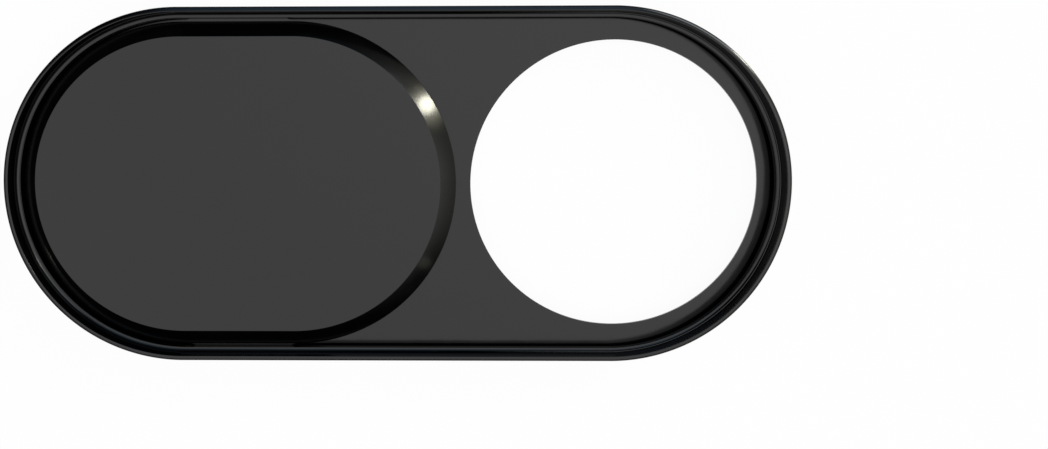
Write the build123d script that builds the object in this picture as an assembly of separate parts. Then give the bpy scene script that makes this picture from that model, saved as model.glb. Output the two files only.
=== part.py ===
from build123d import *
import math
import os

# Webcam cover slider. A shallow tray with a raised rim and a round camera window carries a bevelled
# plate whose tongues run in a groove under the rim, and adhesive on its back fixes it to a screen's frame.
# Millimetres. +X runs along the tray towards the window, +Z points away from the screen, and the
# origin is the middle of the outline, on the face that sticks. The plate is parked clear of the window.

# Outline of the tray
overall_length = 17.5
overall_width = 7.9

# Adhesive pad on the back
pad_thickness = 0.10
pad_inset = 0.20
pad_window_margin = 0.10

# Tray floor, and the camera window in it
floor_thickness = 0.25
back_edge_round = 0.06
floor_ring = 0.49
window_shift = 0.15
window_land = 0.05
window_flare = 0.09

# Rim section, from the outside in: outer edge, crowned crest, wall that ends in a cove, lip, groove
rim_height = 0.65
rim_edge_round = 0.045
crest_crown = 0.26
crest_slope = 27
crest_width = 0.115
cove_round = 0.085
lip_edge_height = 0.25
groove_height = 0.12
groove_depth = 0.09

# Sliding plate
plate_straight = 2.49
plate_edge_height = 0.195
bevel_width = 0.36
bevel_rise = 0.25

# Running clearances of the plate in the tray
floor_clearance = 0.025
lip_clearance = 0.08
groove_top_clearance = 0.025
groove_side_clearance = 0.03
groove_end_clearance = 0.05

# Distances from the middle line, or from the centre of an end arc
end_radius = overall_width / 2
tray_straight = overall_length - overall_width
crest_radius = end_radius - crest_width
lip_radius = crest_radius - cove_round
groove_radius = lip_radius + groove_depth
window_radius = lip_radius - floor_ring
window_back_radius = window_radius + window_flare
pad_radius = end_radius - pad_inset
pad_window_radius = window_back_radius + pad_window_margin
plate_radius = lip_radius - lip_clearance
plate_face_radius = plate_radius - bevel_width
tongue_radius = groove_radius - groove_side_clearance

# Heights
back_z = pad_thickness
floor_z = back_z + floor_thickness
groove_top_z = floor_z + groove_height
lip_edge_z = floor_z + lip_edge_height
cove_z = lip_edge_z + cove_round
crest_z = floor_z + rim_height
plate_z = floor_z + floor_clearance
tongue_top_z = groove_top_z - groove_top_clearance
bevel_foot_z = plate_z + plate_edge_height
plate_face_z = bevel_foot_z + bevel_rise

# Crest: the outer edge turns from upright to the crest's slope, and the crown carries on from there
edge_turn = 90 - crest_slope
edge_x = end_radius - rim_edge_round
crown_reach = crest_crown - rim_edge_round
crown_x = edge_x - crown_reach * math.cos(math.radians(edge_turn))
crown_end_turn = math.degrees(math.acos((crest_radius - crown_x) / crest_crown))
crown_z = crest_z - crest_crown * math.sin(math.radians(crown_end_turn))
edge_z = crown_z + crown_reach * math.sin(math.radians(edge_turn))

# Places along the tray
window_x = tray_straight / 2 + window_shift
plate_travel = tray_straight - plate_straight
plate_x = -plate_travel / 2
tongue_length = plate_straight - 2 * groove_end_clearance

# A solid is placed by the middle of its foot
STANDING = (Align.CENTER, Align.CENTER, Align.MIN)


def stadium(half_section, straight):
    """A half section in XZ, revolved round both ends and run along both straight sides of a stadium."""
    end = revolve(half_section, Axis.Z, 180)
    right_end = Pos(straight / 2, 0, 0) * Rot(0, 0, -90) * end
    left_end = Pos(-straight / 2, 0, 0) * Rot(0, 0, 90) * end
    far_side = extrude(Rot(0, 0, 90) * half_section, amount=straight / 2, both=True)
    near_side = extrude(Rot(0, 0, -90) * half_section, amount=straight / 2, both=True)
    return right_end + left_end + far_side + near_side


def tray_section():
    """Half of the tray's cross-section, from its middle out to the rim."""
    with BuildSketch(Plane.XZ) as section:
        with BuildLine():
            Line((0, back_z), (end_radius - back_edge_round, back_z))
            back_round_centre = (end_radius - back_edge_round, back_z + back_edge_round)
            CenterArc(back_round_centre, back_edge_round, -90, 90)
            Line((end_radius, back_z + back_edge_round), (end_radius, edge_z))
            CenterArc((edge_x, edge_z), rim_edge_round, 0, edge_turn)
            crown = CenterArc((crown_x, crown_z), crest_crown, edge_turn, crown_end_turn - edge_turn)
            Line(crown @ 1, (crest_radius, cove_z))
            CenterArc((lip_radius, cove_z), cove_round, 0, -90)
            Polyline((lip_radius, lip_edge_z), (lip_radius, floor_z), (0, floor_z), (0, back_z))
        make_face()
    return section.sketch


def plate_section():
    """Half of the sliding plate's cross-section, without its tongues."""
    with BuildSketch(Plane.XZ) as section:
        with BuildLine():
            Polyline(
                (0, plate_z),
                (plate_radius, plate_z),
                (plate_radius, bevel_foot_z),
                (plate_face_radius, plate_face_z),
                (0, plate_face_z),
                close=True,
            )
        make_face()
    return section.sketch


def slab_section(radius, low_z, high_z):
    """Half of a flat slab's cross-section."""
    with BuildSketch(Plane.XZ) as section:
        with BuildLine():
            Polyline((0, low_z), (radius, low_z), (radius, high_z), (0, high_z), close=True)
        make_face()
    return section.sketch


def window_cut():
    """The camera window: a short straight land at the front that flares towards the back."""
    with BuildSketch(Plane.XZ) as section:
        with BuildLine():
            Polyline(
                (0, back_z),
                (window_back_radius, back_z),
                (window_radius, floor_z - window_land),
                (window_radius, floor_z),
                (0, floor_z),
                close=True,
            )
        make_face()
    return Pos(window_x, 0, 0) * revolve(section.sketch, Axis.Z, 360)


def base_tray():
    """The moulded tray: floor, rim, lip, groove and window in one piece."""
    groove_cut = stadium(slab_section(groove_radius, floor_z, groove_top_z), tray_straight)
    return stadium(tray_section(), tray_straight) - groove_cut - window_cut()


def slider_plate():
    """The bevelled plate, with a tongue along each straight side that runs in the tray's groove."""
    tongue_size = (tongue_length, 2 * tongue_radius, tongue_top_z - plate_z)
    tongues = Pos(0, 0, plate_z) * Box(*tongue_size, align=STANDING)
    plate = stadium(plate_section(), plate_straight) + tongues
    return Pos(plate_x, 0, 0) * plate


def adhesive_pad():
    """The die-cut pad of double-sided tape, with its window a little wider than the tray's."""
    blank = stadium(slab_section(pad_radius, 0, back_z), tray_straight)
    window = Pos(window_x, 0, 0) * Cylinder(pad_window_radius, pad_thickness, align=STANDING)
    return blank - window


os.makedirs("parts", exist_ok=True)
export_step(base_tray(), "parts/base_tray.step")
export_step(slider_plate(), "parts/slider_plate.step")
export_step(adhesive_pad(), "parts/adhesive_pad.step")
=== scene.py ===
import math

import bmesh
import bpy
from bpy.props import FloatProperty, FloatVectorProperty, IntProperty, PointerProperty
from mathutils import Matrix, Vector


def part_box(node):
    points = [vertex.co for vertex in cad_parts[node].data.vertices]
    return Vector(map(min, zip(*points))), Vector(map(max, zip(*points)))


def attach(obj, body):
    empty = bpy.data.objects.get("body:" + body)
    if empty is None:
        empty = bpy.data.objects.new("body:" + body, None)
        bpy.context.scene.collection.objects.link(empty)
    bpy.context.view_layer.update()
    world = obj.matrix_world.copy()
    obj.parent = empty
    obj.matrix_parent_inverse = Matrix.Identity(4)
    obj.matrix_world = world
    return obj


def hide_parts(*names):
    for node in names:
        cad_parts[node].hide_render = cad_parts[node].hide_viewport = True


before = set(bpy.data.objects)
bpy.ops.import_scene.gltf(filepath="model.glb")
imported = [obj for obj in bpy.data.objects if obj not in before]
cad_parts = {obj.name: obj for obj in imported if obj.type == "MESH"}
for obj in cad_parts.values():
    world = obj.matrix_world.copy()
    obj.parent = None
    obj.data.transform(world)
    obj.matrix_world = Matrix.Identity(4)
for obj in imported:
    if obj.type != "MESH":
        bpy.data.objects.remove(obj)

bl_info = {
    "name": "Webcam Cover Slider",
    "version": (1, 0, 0),
    "blender": (4, 5, 0),
    "location": "View3D > Sidebar > Cover",
    "description": "Models and dresses a sliding webcam cover around its packed solids",
    "category": "Object",
}

# Webcam cover slider. A shallow tray with a raised rim and a round camera window carries a bevelled plate
# that slides over the window, and a pad of tape on the back fixes the tray to a screen's frame.
# Metres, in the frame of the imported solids. Each piece is modelled anew, in the place of its solid.

MM = 0.001

# Modelling: steps of an arc in a section, and the angle up to which faces are shaded smooth
ROUND_STEPS = 6
SMOOTH_ANGLE = math.radians(32)

# How far off a face's middle may lie from where it is looked for, as a share of the face's height
FACE_SEARCH = 0.1

# Polished plastic: pattern scales are features per millimetre, and heights are in millimetres
TRAY_RIPPLES = 1.6
TRAY_LINES = 9.0
PLATE_RIPPLES = 1.1
PLATE_LINES = 6.0
PLASTIC_GRAIN = 40.0
PLASTIC_PATCHES = 0.45
GRAIN_SHARE = 0.025
PATCH_SWIRL = 0.8
FILM_START = 0.46
FILM_FULL = 0.70
SATIN_MARGIN = 0.01
SATIN_FADE = 1.1

# Hairlines: how far they are drawn out and turned, their width, and the clusters that they come in
LINE_STRETCH = (0.05, 1, 1)
LINE_TURN = math.radians(3)
LINE_WIDTH = 0.012
LINE_CLUSTERS = 0.7
CLUSTER_START = 0.50
CLUSTER_FULL = 0.66

# Foam tape: its patterns, the walls of its cells, and the sheen of its adhesive
TAPE_RIPPLES = 2.2
TAPE_GRAIN = 22.0
TAPE_PATCHES = 0.9
TAPE_CELLS = 8.0
CELL_WALL_START = 0.25
CELL_WALL_FULL = 0.75
TAPE_SKIN_SHARE = 0.4
DRY_ROUGHNESS = 0.78
STICKY_ROUGHNESS = 0.55
ADHESIVE_COAT = 0.25
ADHESIVE_ROUGHNESS = 0.3

# Stage: floor, lamps and camera
FLOOR_SIZE = 2.0
FLOOR_ROUGHNESS = 0.9
FLOOR_WHITE = 0.95
SOFTBOX_DISTANCE = 0.3
SENSOR_WIDTH = 36.0
NEAREST_SEEN = 0.1 * MM
FARTHEST_SEEN = 10.0

# The colour sockets of a Mix node, which share their names with its other sockets
MIX_FIRST = 6
MIX_SECOND = 7
MIX_RESULT = 2

# Places and sizes from the frame
TRAY_LOW, TRAY_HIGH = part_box("base_tray")
PLATE_LOW, PLATE_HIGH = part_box("slider_plate")
PAD_LOW, PAD_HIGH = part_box("adhesive_pad")
END_RADIUS = (TRAY_HIGH.y - TRAY_LOW.y) / 2
TRAY_STRAIGHT = TRAY_HIGH.x - TRAY_LOW.x - 2 * END_RADIUS


def length(name, description, default):
    """A size in metres that the sidebar shows as a length."""
    return FloatProperty(
        name=name, description=description, default=default, unit="LENGTH", min=0.0, precision=6
    )


def colour(name, description, default):
    """A linear colour that the sidebar shows as a swatch."""
    return FloatVectorProperty(
        name=name, description=description, default=default, subtype="COLOR", size=3, min=0.0, max=1.0
    )


def amount(name, description, default):
    """A plain number."""
    return FloatProperty(name=name, description=description, default=default, min=0.0, precision=4)


class TraySizes(bpy.types.PropertyGroup):
    """Sizes of the moulded tray."""

    end_steps: IntProperty(
        name="End Steps", description="Facets round each half-round end", default=112, min=8
    )
    floor_thickness: length("Floor", "Thickness of the tray's floor", 0.25 * MM)
    back_round: length("Back Round", "Rounding of the edge at the back", 0.06 * MM)
    floor_ring: length("Floor Ring", "Floor between the lip and the camera window", 0.49 * MM)
    window_shift: length("Window Shift", "How far the window lies beyond the end's centre", 0.15 * MM)
    window_land: length("Window Land", "Straight part of the window's wall", 0.05 * MM)
    window_flare: length("Window Flare", "How much wider the window is at the back", 0.09 * MM)
    rim_edge_round: length("Rim Edge", "Rounding of the rim's outer edge", 0.045 * MM)
    crest_crown: length("Crest Crown", "Radius of the gentle curve over the crest", 0.26 * MM)
    crest_slope: FloatProperty(
        name="Crest Slope", description="Slope of the crest where it meets the outer edge",
        default=math.radians(27), subtype="ANGLE",
    )
    crest_width: length("Crest Width", "Width of the rim's top", 0.115 * MM)
    cove_round: length("Cove Round", "Hollow rounding between the wall and the lip", 0.085 * MM)
    lip_edge_height: length("Lip Height", "Height of the lip's edge over the floor", 0.25 * MM)
    groove_height: length("Groove Height", "Height of the groove under the lip", 0.12 * MM)
    groove_depth: length("Groove Depth", "Depth of the groove under the lip", 0.09 * MM)
    edge_round: length("Edge Round", "Rounding of the crest's inner edge", 0.012 * MM)


class PlateSizes(bpy.types.PropertyGroup):
    """Sizes of the sliding plate."""

    lip_clearance: length("Lip Clearance", "Gap between the plate and the lip", 0.08 * MM)
    edge_height: length("Edge Height", "Height of the plate's upright edge", 0.195 * MM)
    bevel_width: length("Bevel Width", "Width of the bevel seen from above", 0.36 * MM)
    tongue_thickness: length("Tongue", "Thickness of the tongues", 0.07 * MM)
    tongue_taper: length("Tongue Taper", "Lead-in at each end of a tongue", 0.35 * MM)
    tongue_clearance: length("Tongue Clearance", "Gap between a tongue and the groove", 0.03 * MM)
    edge_round: length("Edge Round", "Rounding of the plate's edges", 0.012 * MM)


class PadSizes(bpy.types.PropertyGroup):
    """Sizes of the adhesive pad."""

    window_margin: length("Window Margin", "How far the pad keeps back from the window", 0.10 * MM)


class FinishLook(bpy.types.PropertyGroup):
    """Colours and textures of the finishes."""

    plastic: colour("Plastic", "Colour of the black plastic", (0.0006, 0.0006, 0.0007))
    handled: colour("Handled Plastic", "Colour of the plastic under a faint film", (0.0011, 0.0011, 0.0012))
    tape: colour("Tape", "Colour of the foam tape", (0.13, 0.13, 0.135))
    tape_cells: colour("Tape Cells", "Colour of the foam's cell walls", (0.19, 0.19, 0.195))
    gloss: amount("Gloss", "Roughness of the polished plastic", 0.125)
    film: amount("Film", "Roughness that a faint film adds", 0.045)
    hairline: amount("Hairline", "Roughness that a hairline adds", 0.03)
    satin: amount("Satin", "Roughness of the plastic as moulded on the back", 0.42)
    ripple_depth: length("Ripple Depth", "Depth of the slow ripple in the polish", 0.003 * MM)
    cell_depth: length("Cell Depth", "Depth of the foam's cells", 0.02 * MM)


class StageLook(bpy.types.PropertyGroup):
    """Light, floor and camera."""

    floor: colour("Floor", "Colour of the floor", (0.86, 0.86, 0.86))
    camera_place: FloatVectorProperty(
        name="Camera Place", description="Where the camera stands", subtype="XYZ", unit="LENGTH",
        default=(0.930 * MM, 1.663 * MM, 18.850 * MM), precision=6,
    )
    camera_turn: FloatVectorProperty(
        name="Camera Turn", description="How far the camera turns from straight down", subtype="EULER",
        default=(math.radians(-3.583), math.radians(0.764), math.radians(-0.099)),
    )
    camera_lens: amount("Lens", "Focal length in millimetres", 27.850)
    camera_shift: FloatVectorProperty(
        name="Camera Shift", description="Sets the object left of the frame's middle, and above it",
        size=2, default=(0.0932, -0.0603),
    )


class Softbox:
    """A flat lamp that faces the object, with its place, its width and height as angles, and its light."""

    def __init__(self, name, azimuth, elevation, wide, high, radiance, tint):
        self.name = name
        self.azimuth = math.radians(azimuth)
        self.elevation = math.radians(elevation)
        self.wide = math.radians(wide)
        self.high = math.radians(high)
        self.radiance = radiance
        self.tint = tint

    def add(self, distance):
        """Hangs the lamp at a distance from the origin."""
        lamp = bpy.data.lights.new(self.name, "AREA")
        lamp.shape = "ELLIPSE"
        lamp.size = 2 * distance * math.tan(self.wide / 2)
        lamp.size_y = 2 * distance * math.tan(self.high / 2)
        lamp.color = self.tint
        lamp.energy = self.radiance * math.pi * (math.pi / 4 * lamp.size * lamp.size_y)
        holder = bpy.data.objects.new(self.name, lamp)
        level = math.cos(self.elevation)
        towards = Vector((
            level * math.cos(self.azimuth), level * math.sin(self.azimuth), math.sin(self.elevation)
        ))
        holder.location = towards * distance
        holder.rotation_euler = towards.to_track_quat("Z", "Y").to_euler()
        bpy.context.scene.collection.objects.link(holder)


SOFTBOXES = (
    Softbox(
        "warm_key", azimuth=32.0, elevation=19.5, wide=6.5, high=9, radiance=44.0, tint=(1.0, 0.985, 0.82)
    ),
    Softbox(
        "warm_kicker", azimuth=-41.0, elevation=16, wide=5, high=8, radiance=0.4, tint=(1.0, 0.97, 0.80)
    ),
    Softbox(
        "cool_strip", azimuth=45.0, elevation=34, wide=32, high=16, radiance=3.5, tint=(0.84, 0.93, 1.0)
    ),
)


class Fade:
    """A soft step over the studio's dome: full out to one angle from its aim, nothing from another."""

    def __init__(self, azimuth, elevation, full, end):
        level = math.cos(math.radians(elevation))
        self.aim = (
            level * math.cos(math.radians(azimuth)),
            level * math.sin(math.radians(azimuth)),
            math.sin(math.radians(elevation)),
        )
        self.full = math.cos(math.radians(full))
        self.end = math.cos(math.radians(end))


class Glow:
    """A broad soft part of the studio's light: a round fade, times an edge that cuts it off.

    A glow with no edge of its own has its round fade twice, which softens it.
    """

    def __init__(self, light, disc, edge=None):
        self.light = light
        self.disc = disc
        self.edge = edge or disc


GLOWS = (
    Glow(
        light=(1.17, 1.17, 1.17),
        disc=Fade(azimuth=0, elevation=90, full=50, end=78),
        edge=Fade(azimuth=270, elevation=17, full=83, end=107),
    ),
    Glow(light=(0.20, 0.20, 0.20), disc=Fade(azimuth=45, elevation=55, full=10, end=60)),
    Glow(light=(0.28, 0.46, 0.68), disc=Fade(azimuth=91, elevation=47, full=8, end=32)),
    Glow(light=(0.36, 0.355, 0.31), disc=Fade(azimuth=9, elevation=19, full=0, end=66)),
    Glow(light=(2.40, 2.30, 1.70), disc=Fade(azimuth=31, elevation=20, full=0, end=13)),
)


def deselect():
    """Leaves no object selected, the solids of the frame included."""
    bpy.ops.object.select_all(action="DESELECT")


def pick(indices):
    """In edit mode, selects these vertices and nothing else."""
    mesh = bpy.context.edit_object.data
    form = bmesh.from_edit_mesh(mesh)
    form.verts.ensure_lookup_table()
    for item in (*form.faces, *form.edges, *form.verts):
        item.select_set(False)
    for index in indices:
        form.verts[index].select_set(True)
    form.select_flush_mode()
    bmesh.update_edit_mesh(mesh)


def picked():
    """Indices and places of the vertices that are selected in edit mode."""
    form = bmesh.from_edit_mesh(bpy.context.edit_object.data)
    form.verts.index_update()
    return {vert.index: vert.co.copy() for vert in form.verts if vert.select}


class Outline:
    """A stadium outline in edit mode, which is drawn out ring by ring to the section of a piece."""

    def __init__(self, centre_x, straight, radius, height, steps):
        self.centre_x = centre_x
        self.straight = straight
        self.radius = radius
        self.height = height
        self.rings = []
        half_step = math.pi / (2 * steps)
        bpy.ops.mesh.primitive_circle_add(
            vertices=2 * steps, radius=radius, location=(centre_x, 0, height), rotation=(0, 0, half_step)
        )
        bpy.ops.object.transform_apply(location=True, rotation=True, scale=True)
        bpy.ops.object.mode_set(mode="EDIT")
        bpy.ops.mesh.select_mode(type="VERT")
        bpy.ops.mesh.select_all(action="SELECT")
        self.ring = picked()
        for side in (-1, 1):
            self.pick_end(side)
            bpy.ops.transform.translate(value=(side * straight / 2, 0, 0))
        self.keep_ring()

    def pick_end(self, side):
        """Selects the half of the ring that goes round one end."""
        pick(index for index, place in self.ring.items() if (place.x - self.centre_x) * side > 0)

    def keep_ring(self):
        """Selects the whole ring again and remembers it."""
        pick(self.ring)
        self.ring = picked()
        self.rings.append(list(self.ring))

    def draw_to(self, radius, height):
        """Extrudes the last ring to a new distance from the middle line and a new height."""
        rise = height - self.height
        bpy.ops.mesh.extrude_region_move(TRANSFORM_OT_translate={"value": (0, 0, rise)})
        self.ring = picked()
        share = radius / self.radius
        for side in (-1, 1):
            self.pick_end(side)
            end_centre = (self.centre_x + side * self.straight / 2, 0, height)
            bpy.ops.transform.resize(value=(share, share, 1), center_override=end_centre)
        self.radius = radius
        self.height = height
        self.keep_ring()


def draw_window(x, radius, back_radius, height, land_height, back_height, steps):
    """Adds the wall of a round window in edit mode and returns its front and back rings."""
    bpy.ops.mesh.primitive_circle_add(vertices=2 * steps, radius=radius, location=(x, 0, height))
    front = list(picked())
    bpy.ops.mesh.extrude_region_move(TRANSFORM_OT_translate={"value": (0, 0, land_height - height)})
    bpy.ops.mesh.extrude_region_move(TRANSFORM_OT_translate={"value": (0, 0, back_height - land_height)})
    share = back_radius / radius
    bpy.ops.transform.resize(value=(share, share, 1), center_override=(x, 0, back_height))
    return front, list(picked())


def extrude_sides(radius, centre_x, foot_z, height, reach, taper):
    """Draws out the foot of both straight sides in edit mode, into tongues."""
    bpy.ops.mesh.select_mode(type="FACE")
    for side in (-1, 1):
        mesh = bpy.context.edit_object.data
        form = bmesh.from_edit_mesh(mesh)
        middle = Vector((centre_x, side * radius, foot_z + height / 2))
        near = FACE_SEARCH * height
        found = [face for face in form.faces if (face.calc_center_median() - middle).length < near]
        if len(found) != 1:
            raise RuntimeError(f"a straight side has {len(found)} faces to draw out, not 1")
        for face in form.faces:
            face.select_set(face is found[0])
        bmesh.update_edit_mesh(mesh)
        run = max(vert.co.x for vert in found[0].verts) - centre_x
        bpy.ops.mesh.extrude_region_move(TRANSFORM_OT_translate={"value": (0, side * reach, 0)})
        bpy.ops.transform.resize(value=(1 - taper / run, 1, 1), center_override=middle)
    bpy.ops.mesh.select_mode(type="VERT")


def rounded(corners, steps=ROUND_STEPS):
    """A section's corners, given as (distance, height, rounding), with each rounding drawn as an arc.

    The first and the last corner stay sharp.
    """
    points = []
    for index, (distance, height, rounding) in enumerate(corners):
        corner = Vector((distance, height))
        if not rounding or index in (0, len(corners) - 1):
            points.append(corner)
            continue
        before = Vector(corners[index - 1][:2]) - corner
        after = Vector(corners[index + 1][:2]) - corner
        half_angle = before.angle(after) / 2
        reach = rounding / math.tan(half_angle)
        middle = (before.normalized() + after.normalized()).normalized()
        centre = corner + middle * rounding / math.sin(half_angle)
        start = corner + before.normalized() * reach - centre
        turn = (corner + after.normalized() * reach - centre).angle_signed(start)
        for step in range(steps + 1):
            angle = turn * step / steps
            spin = Vector((
                start.x * math.cos(angle) - start.y * math.sin(angle),
                start.x * math.sin(angle) + start.y * math.cos(angle),
            ))
            points.append(centre + spin)
    return points


def close_piece(name):
    """Leaves edit mode with the faces outwards and the round parts shaded smooth."""
    bpy.ops.mesh.select_all(action="SELECT")
    bpy.ops.mesh.normals_make_consistent(inside=False)
    bpy.ops.object.mode_set(mode="OBJECT")
    piece = bpy.context.active_object
    piece.name = name
    piece.data.name = name
    bpy.ops.object.shade_smooth_by_angle(angle=SMOOTH_ANGLE)
    weighted = piece.modifiers.new("even_shading", "WEIGHTED_NORMAL")
    weighted.keep_sharp = True
    bpy.ops.object.modifier_apply(modifier=weighted.name)
    return piece


def fill_between(*rings):
    """Fills the flat face between rings."""
    pick([index for ring in rings for index in ring])
    bpy.ops.mesh.fill(use_beauty=True)


def dress(piece, body, node, material):
    """Gives a piece its finish, and puts it in the place of its solid."""
    piece.data.materials.clear()
    piece.data.materials.append(material)
    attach(piece, body)
    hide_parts(node)


def new_group(name, inputs, outputs):
    """An empty node group with its sockets, and its two end nodes."""
    group = bpy.data.node_groups.new(name, "ShaderNodeTree")
    for in_out, sockets in (("INPUT", inputs), ("OUTPUT", outputs)):
        for socket, kind in sockets.items():
            group.interface.new_socket(socket, in_out=in_out, socket_type=f"NodeSocket{kind}")
    return group, group.nodes.new("NodeGroupInput"), group.nodes.new("NodeGroupOutput")


def math_node(tree, operation, first, second, third=None):
    """A Math node whose inputs are other nodes' outputs or plain numbers."""
    node = tree.nodes.new("ShaderNodeMath")
    node.operation = operation
    for socket, value in zip(node.inputs, (first, second, third)):
        if value is None:
            continue
        if isinstance(value, (int, float)):
            socket.default_value = value
        else:
            tree.links.new(value, socket)
    return node.outputs["Value"]


def range_node(tree, value, low, high, to_low=0.0, to_high=1.0):
    """Takes a value from one range to another, with soft ends."""
    node = tree.nodes.new("ShaderNodeMapRange")
    node.interpolation_type = "SMOOTHSTEP"
    node.inputs["From Min"].default_value = low
    node.inputs["From Max"].default_value = high
    node.inputs["To Min"].default_value = to_low
    node.inputs["To Max"].default_value = to_high
    tree.links.new(value, node.inputs["Value"])
    return node.outputs["Result"]


def noise_node(tree, place, scale, detail, distortion=0.0):
    """Noise at a place in millimetres. The scale is a number or another node's output."""
    node = tree.nodes.new("ShaderNodeTexNoise")
    node.inputs["Detail"].default_value = detail
    node.inputs["Distortion"].default_value = distortion
    if isinstance(scale, (int, float)):
        node.inputs["Scale"].default_value = scale
    else:
        tree.links.new(scale, node.inputs["Scale"])
    tree.links.new(place, node.inputs["Vector"])
    return node.outputs["Fac"]


def moulded_skin_group():
    """The slow ripple and the fine grain of a moulded face, and the faint film that handling leaves."""
    name = "moulded_skin"
    if name in bpy.data.node_groups:
        return bpy.data.node_groups[name]
    group, given, result = new_group(
        name,
        {"Place": "Vector", "Ripples": "Float", "Grain": "Float", "Patches": "Float"},
        {"Height": "Float", "Film": "Float"},
    )
    place = given.outputs["Place"]
    ripple = noise_node(group, place, given.outputs["Ripples"], detail=1.0)
    grain = noise_node(group, place, given.outputs["Grain"], detail=3.0)
    height = math_node(group, "MULTIPLY_ADD", grain, GRAIN_SHARE, ripple)
    patches = noise_node(group, place, given.outputs["Patches"], detail=4.0, distortion=PATCH_SWIRL)
    film = range_node(group, patches, FILM_START, FILM_FULL)
    group.links.new(height, result.inputs["Height"])
    group.links.new(film, result.inputs["Film"])
    return group


def hairlines_group():
    """Sparse fine lines along the way the plate slides."""
    name = "hairlines"
    if name in bpy.data.node_groups:
        return bpy.data.node_groups[name]
    group, given, result = new_group(
        name, {"Place": "Vector", "Lines": "Float", "Width": "Float"}, {"Lines": "Float"}
    )
    stretch = group.nodes.new("ShaderNodeMapping")
    stretch.inputs["Scale"].default_value = LINE_STRETCH
    stretch.inputs["Rotation"].default_value = (0, 0, LINE_TURN)
    group.links.new(given.outputs["Place"], stretch.inputs["Vector"])
    # A line runs wherever the noise crosses the middle of its range
    field = noise_node(group, stretch.outputs["Vector"], given.outputs["Lines"], detail=1.0)
    middle = math_node(group, "SUBTRACT", field, 0.5)
    distance = math_node(group, "ABSOLUTE", middle, 0.0)
    share = math_node(group, "DIVIDE", distance, given.outputs["Width"])
    line = range_node(group, share, 0.0, 1.0, to_low=1.0, to_high=0.0)
    clusters = noise_node(group, given.outputs["Place"], LINE_CLUSTERS, detail=2.0)
    presence = range_node(group, clusters, CLUSTER_START, CLUSTER_FULL)
    group.links.new(math_node(group, "MULTIPLY", line, presence), result.inputs["Lines"])
    return group


def place_in_millimetres(tree):
    """A piece's own coordinates, in millimetres."""
    own = tree.nodes.new("ShaderNodeTexCoord")
    scaled = tree.nodes.new("ShaderNodeVectorMath")
    scaled.operation = "SCALE"
    scaled.inputs["Scale"].default_value = 1 / MM
    tree.links.new(own.outputs["Object"], scaled.inputs[0])
    return scaled.outputs["Vector"]


def use_group(tree, group, place, **values):
    """Places a group in a material with its own values."""
    node = tree.nodes.new("ShaderNodeGroup")
    node.node_tree = group
    tree.links.new(place, node.inputs["Place"])
    for name, value in values.items():
        node.inputs[name].default_value = value
    return node


def mix_colours(tree, share, first, second):
    """A colour between two others."""
    mix = tree.nodes.new("ShaderNodeMix")
    mix.data_type = "RGBA"
    mix.inputs[MIX_FIRST].default_value = (*first, 1)
    mix.inputs[MIX_SECOND].default_value = (*second, 1)
    tree.links.new(share, mix.inputs["Factor"])
    return mix.outputs[MIX_RESULT]


def add_bump(tree, shader, height, depth):
    """Turns a height into the shader's normal."""
    bump = tree.nodes.new("ShaderNodeBump")
    bump.inputs["Strength"].default_value = 1.0
    bump.inputs["Distance"].default_value = depth
    tree.links.new(height, bump.inputs["Height"])
    tree.links.new(bump.outputs["Normal"], shader.inputs["Normal"])


def plastic_material(name, look, ripples, lines, satin_below=None):
    """Polished black plastic with a slow ripple, a faint film and hairlines, and satin on a moulded back."""
    material = bpy.data.materials.new(name)
    material.use_nodes = True
    tree = material.node_tree
    shader = tree.nodes["Principled BSDF"]
    place = place_in_millimetres(tree)
    skin = use_group(
        tree, moulded_skin_group(), place, Ripples=ripples, Grain=PLASTIC_GRAIN, Patches=PLASTIC_PATCHES
    )
    scuffs = use_group(tree, hairlines_group(), place, Lines=lines, Width=LINE_WIDTH)
    film = skin.outputs["Film"]
    roughness = math_node(tree, "MULTIPLY_ADD", film, look.film, look.gloss)
    roughness = math_node(tree, "MULTIPLY_ADD", scuffs.outputs["Lines"], look.hairline, roughness)
    if satin_below is not None:
        height = tree.nodes.new("ShaderNodeSeparateXYZ")
        tree.links.new(place, height.inputs["Vector"])
        satin_end = SATIN_FADE * satin_below
        satin = range_node(tree, height.outputs["Z"], satin_below, satin_end, look.satin, 0.0)
        roughness = math_node(tree, "MAXIMUM", roughness, satin)
    tree.links.new(roughness, shader.inputs["Roughness"])
    tree.links.new(mix_colours(tree, film, look.plastic, look.handled), shader.inputs["Base Color"])
    add_bump(tree, shader, skin.outputs["Height"], look.ripple_depth)
    return material


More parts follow.
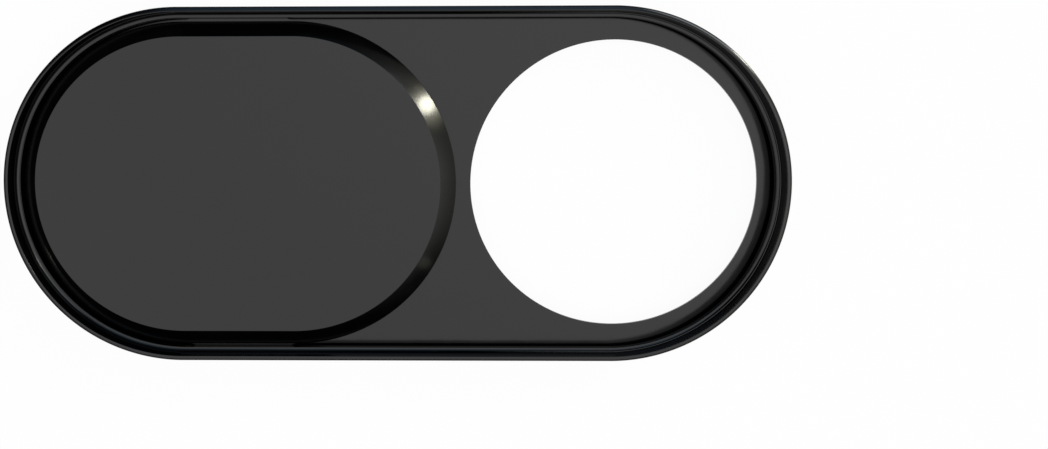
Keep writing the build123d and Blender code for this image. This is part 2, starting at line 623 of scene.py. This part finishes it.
def tape_material(look):
    """Foam tape: fine cells, a mottled colour and the uneven sheen of its adhesive."""
    material = bpy.data.materials.new("foam_tape")
    material.use_nodes = True
    tree = material.node_tree
    shader = tree.nodes["Principled BSDF"]
    place = place_in_millimetres(tree)
    skin = use_group(
        tree, moulded_skin_group(), place, Ripples=TAPE_RIPPLES, Grain=TAPE_GRAIN, Patches=TAPE_PATCHES
    )
    film = skin.outputs["Film"]
    cells = tree.nodes.new("ShaderNodeTexVoronoi")
    cells.inputs["Scale"].default_value = TAPE_CELLS
    cells.inputs["Randomness"].default_value = 1.0
    tree.links.new(place, cells.inputs["Vector"])
    wall = range_node(tree, cells.outputs["Distance"], CELL_WALL_START, CELL_WALL_FULL)
    roughness = range_node(tree, film, 0.0, 1.0, DRY_ROUGHNESS, STICKY_ROUGHNESS)
    tree.links.new(mix_colours(tree, wall, look.tape, look.tape_cells), shader.inputs["Base Color"])
    tree.links.new(roughness, shader.inputs["Roughness"])
    tree.links.new(math_node(tree, "MULTIPLY", film, ADHESIVE_COAT), shader.inputs["Coat Weight"])
    shader.inputs["Coat Roughness"].default_value = ADHESIVE_ROUGHNESS
    height = math_node(tree, "MULTIPLY_ADD", skin.outputs["Height"], TAPE_SKIN_SHARE, wall)
    add_bump(tree, shader, height, look.cell_depth)
    return material


def crest_radius(tray):
    """Distance of the crest's inner edge from the centre of an end."""
    return END_RADIUS - tray.crest_width


def lip_radius(tray):
    """Distance of the lip's edge from the centre of an end."""
    return crest_radius(tray) - tray.cove_round


def window_radius(tray):
    """Radius of the camera window at the front."""
    return lip_radius(tray) - tray.floor_ring


def window_x(tray):
    """Where the camera window lies along the tray."""
    return TRAY_STRAIGHT / 2 + tray.window_shift


def arc(centre, radius, start, end, steps=ROUND_STEPS):
    """Points of an arc in a section, from one angle to another."""
    turns = [start + (end - start) * step / steps for step in range(steps + 1)]
    return [centre + radius * Vector((math.cos(turn), math.sin(turn))) for turn in turns]


def crest_section(tray):
    """The rim's top: the outer edge turns to the crest's slope, and the crown carries on from there."""
    edge_turn = math.pi / 2 - tray.crest_slope
    edge_x = END_RADIUS - tray.rim_edge_round
    reach = tray.crest_crown - tray.rim_edge_round
    crown_x = edge_x - reach * math.cos(edge_turn)
    end_turn = math.acos((crest_radius(tray) - crown_x) / tray.crest_crown)
    crown_z = TRAY_HIGH.z - tray.crest_crown * math.sin(end_turn)
    edge_z = crown_z + reach * math.sin(edge_turn)
    edge = arc(Vector((edge_x, edge_z)), tray.rim_edge_round, 0, edge_turn)
    crown = arc(Vector((crown_x, crown_z)), tray.crest_crown, edge_turn, end_turn)
    return edge + crown[1:-1]


def tray_section(tray):
    """The tray's section from the back edge, over the rim and down into the groove."""
    floor_z = TRAY_LOW.z + tray.floor_thickness
    groove_z = floor_z + tray.groove_height
    lip_z = floor_z + tray.lip_edge_height
    lip = lip_radius(tray)
    crest = crest_radius(tray)
    groove = lip + tray.groove_depth
    back = rounded([
        (END_RADIUS - 2 * tray.back_round, TRAY_LOW.z, 0),
        (END_RADIUS, TRAY_LOW.z, tray.back_round),
        (END_RADIUS, TRAY_HIGH.z, 0),
    ])
    top = crest_section(tray)
    inside = rounded([
        (*top[-1], 0),
        (crest, TRAY_HIGH.z, tray.edge_round),
        (crest, lip_z, tray.cove_round - tray.edge_round),
        (lip, lip_z, tray.edge_round / 2),
        (lip, groove_z, 0),
        (groove, groove_z, 0),
        (groove, floor_z, 0),
    ])
    return back[:-1] + top + inside[1:]


def soft_glow_group():
    """A group that adds one soft glow to the studio's light."""
    vectors = ("Direction", "Disc Aim", "Edge Aim", "Light", "Before")
    numbers = ("Disc Full", "Disc End", "Edge Full", "Edge End")
    inputs = {**dict.fromkeys(vectors, "Vector"), **dict.fromkeys(numbers, "Float")}
    group, given, result = new_group("soft_glow", inputs, {"Light": "Vector"})
    link = group.links.new
    light = given.outputs["Light"]
    for part in ("Disc", "Edge"):
        nearness = group.nodes.new("ShaderNodeVectorMath")
        nearness.operation = "DOT_PRODUCT"
        fade = group.nodes.new("ShaderNodeMapRange")
        fade.interpolation_type = "SMOOTHSTEP"
        share = group.nodes.new("ShaderNodeVectorMath")
        share.operation = "SCALE"
        link(given.outputs["Direction"], nearness.inputs[0])
        link(given.outputs[f"{part} Aim"], nearness.inputs[1])
        link(nearness.outputs["Value"], fade.inputs["Value"])
        link(given.outputs[f"{part} End"], fade.inputs["From Min"])
        link(given.outputs[f"{part} Full"], fade.inputs["From Max"])
        link(light, share.inputs[0])
        link(fade.outputs["Result"], share.inputs["Scale"])
        light = share.outputs["Vector"]
    total = group.nodes.new("ShaderNodeVectorMath")
    link(light, total.inputs[0])
    link(given.outputs["Before"], total.inputs[1])
    link(total.outputs["Vector"], result.inputs["Light"])
    return group


class COVER_OT_tray(bpy.types.Operator):
    """Models the moulded tray: floor, rim, lip, groove and camera window"""

    bl_idname = "cover.tray"
    bl_label = "Tray"

    def execute(self, context):
        tray = context.scene.cover_tray
        floor_z = TRAY_LOW.z + tray.floor_thickness
        section = tray_section(tray)
        deselect()
        first = section[0]
        outline = Outline(0, TRAY_STRAIGHT, first.x, first.y, tray.end_steps)
        for point in section[1:]:
            outline.draw_to(point.x, point.y)
        window = window_radius(tray)
        front, back = draw_window(
            window_x(tray), window, window + tray.window_flare,
            floor_z, floor_z - tray.window_land, TRAY_LOW.z, tray.end_steps,
        )
        fill_between(outline.rings[-1], front)
        fill_between(outline.rings[0], back)
        piece = close_piece("tray_moulding")
        finish = context.scene.cover_finish
        satin_below = TRAY_LOW.z / MM + SATIN_MARGIN
        material = plastic_material("polished_tray_plastic", finish, TRAY_RIPPLES, TRAY_LINES, satin_below)
        dress(piece, "tray", "base_tray", material)
        return {"FINISHED"}


class COVER_OT_plate(bpy.types.Operator):
    """Models the bevelled plate that slides in the tray, with its two tongues"""

    bl_idname = "cover.plate"
    bl_label = "Sliding Plate"

    def execute(self, context):
        tray = context.scene.cover_tray
        plate = context.scene.cover_plate
        radius = lip_radius(tray) - plate.lip_clearance
        face = radius - plate.bevel_width
        bevel_z = PLATE_LOW.z + plate.edge_height
        tongue_z = PLATE_LOW.z + plate.tongue_thickness
        straight = PLATE_HIGH.x - PLATE_LOW.x - 2 * radius
        centre_x = (PLATE_HIGH.x + PLATE_LOW.x) / 2
        # The last corner isn't drawn: it only shows which way the face runs on from its edge
        section = rounded([
            (radius, PLATE_LOW.z, 0),
            (radius, tongue_z, 0),
            (radius, bevel_z, plate.edge_round),
            (face, PLATE_HIGH.z, plate.edge_round),
            (0, PLATE_HIGH.z, 0),
        ])
        deselect()
        outline = Outline(centre_x, straight, section[0].x, section[0].y, tray.end_steps)
        for point in section[1:-1]:
            outline.draw_to(point.x, point.y)
        for ring in (outline.rings[0], outline.rings[-1]):
            pick(ring)
            bpy.ops.mesh.edge_face_add()
        reach = tray.groove_depth + plate.lip_clearance - plate.tongue_clearance
        extrude_sides(radius, centre_x, PLATE_LOW.z, plate.tongue_thickness, reach, plate.tongue_taper)
        piece = close_piece("sliding_plate")
        finish = context.scene.cover_finish
        material = plastic_material("polished_plate_plastic", finish, PLATE_RIPPLES, PLATE_LINES)
        dress(piece, "plate", "slider_plate", material)
        return {"FINISHED"}


class COVER_OT_pad(bpy.types.Operator):
    """Models the die-cut pad of double-sided tape on the back"""

    bl_idname = "cover.pad"
    bl_label = "Adhesive Pad"

    def execute(self, context):
        tray = context.scene.cover_tray
        pad = context.scene.cover_pad
        radius = (PAD_HIGH.y - PAD_LOW.y) / 2
        straight = PAD_HIGH.x - PAD_LOW.x - 2 * radius
        deselect()
        outline = Outline(0, straight, radius, PAD_LOW.z, tray.end_steps)
        outline.draw_to(radius, PAD_HIGH.z)
        window = window_radius(tray) + tray.window_flare + pad.window_margin
        middle_z = (PAD_LOW.z + PAD_HIGH.z) / 2
        front, back = draw_window(
            window_x(tray), window, window, PAD_HIGH.z, middle_z, PAD_LOW.z, tray.end_steps
        )
        fill_between(outline.rings[-1], front)
        fill_between(outline.rings[0], back)
        piece = close_piece("adhesive_tape_pad")
        dress(piece, "tray", "adhesive_pad", tape_material(context.scene.cover_finish))
        return {"FINISHED"}


class COVER_OT_stage(bpy.types.Operator):
    """Sets the floor, the lights and the camera"""

    bl_idname = "cover.stage"
    bl_label = "Stage"

    def execute(self, context):
        look = context.scene.cover_stage
        self.floor(look)
        self.world(context)
        for softbox in SOFTBOXES:
            softbox.add(SOFTBOX_DISTANCE)
        self.camera(context, look)
        context.scene.view_settings.view_transform = "Standard"
        return {"FINISHED"}

    def floor(self, look):
        """A pale floor that looks white to the camera and in reflections, and keeps the object's shadow."""
        deselect()
        bpy.ops.mesh.primitive_plane_add(size=FLOOR_SIZE, location=(0, 0, 0))
        floor = bpy.context.active_object
        floor.name = "stage_floor"
        material = bpy.data.materials.new("pale_floor")
        material.use_nodes = True
        tree = material.node_tree
        shader = tree.nodes["Principled BSDF"]
        shader.inputs["Base Color"].default_value = (*look.floor, 1)
        shader.inputs["Roughness"].default_value = FLOOR_ROUGHNESS
        shader.inputs["Specular IOR Level"].default_value = 0.0
        path = tree.nodes.new("ShaderNodeLightPath")
        seen = math_node(tree, "MAXIMUM", path.outputs["Is Camera Ray"], path.outputs["Is Glossy Ray"])
        white = tree.nodes.new("ShaderNodeEmission")
        white.inputs["Color"].default_value = (1, 1, 1, 1)
        mix = tree.nodes.new("ShaderNodeMixShader")
        tree.links.new(math_node(tree, "MULTIPLY", seen, FLOOR_WHITE), mix.inputs["Fac"])
        tree.links.new(shader.outputs["BSDF"], mix.inputs[1])
        tree.links.new(white.outputs["Emission"], mix.inputs[2])
        tree.links.new(mix.outputs["Shader"], tree.nodes["Material Output"].inputs["Surface"])
        floor.data.materials.append(material)

    def world(self, context):
        """The studio's light: the glows added up, behind a white backdrop that only the camera sees."""
        world = bpy.data.worlds.new("studio")
        world.use_nodes = True
        tree = world.node_tree
        glow_group = soft_glow_group()
        towards = tree.nodes.new("ShaderNodeTexCoord")
        light = None
        for glow in GLOWS:
            part = tree.nodes.new("ShaderNodeGroup")
            part.node_tree = glow_group
            part.inputs["Light"].default_value = glow.light
            for name, fade in (("Disc", glow.disc), ("Edge", glow.edge)):
                part.inputs[f"{name} Aim"].default_value = fade.aim
                part.inputs[f"{name} Full"].default_value = fade.full
                part.inputs[f"{name} End"].default_value = fade.end
            tree.links.new(towards.outputs["Generated"], part.inputs["Direction"])
            if light:
                tree.links.new(light, part.inputs["Before"])
            light = part.outputs["Light"]
        room = tree.nodes["Background"]
        tree.links.new(light, room.inputs["Color"])
        backdrop = tree.nodes.new("ShaderNodeBackground")
        backdrop.inputs["Color"].default_value = (1, 1, 1, 1)
        path = tree.nodes.new("ShaderNodeLightPath")
        mix = tree.nodes.new("ShaderNodeMixShader")
        tree.links.new(path.outputs["Is Camera Ray"], mix.inputs["Fac"])
        tree.links.new(room.outputs["Background"], mix.inputs[1])
        tree.links.new(backdrop.outputs["Background"], mix.inputs[2])
        tree.links.new(mix.outputs["Shader"], tree.nodes["World Output"].inputs["Surface"])
        context.scene.world = world

    def camera(self, context, look):
        """The camera, at the photograph's viewing angle."""
        camera = bpy.data.cameras.new("photo_camera")
        camera.sensor_width = SENSOR_WIDTH
        camera.lens = look.camera_lens
        camera.shift_x, camera.shift_y = look.camera_shift
        camera.clip_start = NEAREST_SEEN
        camera.clip_end = FARTHEST_SEEN
        holder = bpy.data.objects.new("photo_camera", camera)
        holder.location = look.camera_place
        holder.rotation_euler = look.camera_turn
        context.scene.collection.objects.link(holder)
        context.scene.camera = holder


class COVER_PT_panel(bpy.types.Panel):
    """Lists the pieces of the cover and their sizes"""

    bl_idname = "COVER_PT_panel"
    bl_label = "Webcam Cover"
    bl_space_type = "VIEW_3D"
    bl_region_type = "UI"
    bl_category = "Cover"

    def draw(self, context):
        for operator in OPERATORS:
            self.layout.operator(operator.bl_idname)
        for name, group in SETTINGS.items():
            box = self.layout.box()
            settings = getattr(context.scene, name)
            for value in group.__annotations__:
                box.prop(settings, value)


OPERATORS = (COVER_OT_tray, COVER_OT_plate, COVER_OT_pad, COVER_OT_stage)
SETTINGS = {
    "cover_tray": TraySizes,
    "cover_plate": PlateSizes,
    "cover_pad": PadSizes,
    "cover_finish": FinishLook,
    "cover_stage": StageLook,
}
CLASSES = (*SETTINGS.values(), *OPERATORS, COVER_PT_panel)


def register():
    for item in CLASSES:
        bpy.utils.register_class(item)
    for name, group in SETTINGS.items():
        setattr(bpy.types.Scene, name, PointerProperty(type=group))


def unregister():
    for name in SETTINGS:
        delattr(bpy.types.Scene, name)
    for item in reversed(CLASSES):
        bpy.utils.unregister_class(item)


def main():
    """Makes the pieces and the stage."""
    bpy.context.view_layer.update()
    register()
    bpy.ops.cover.tray()
    bpy.ops.cover.plate()
    bpy.ops.cover.pad()
    bpy.ops.cover.stage()


if __name__ == "__main__":
    main()
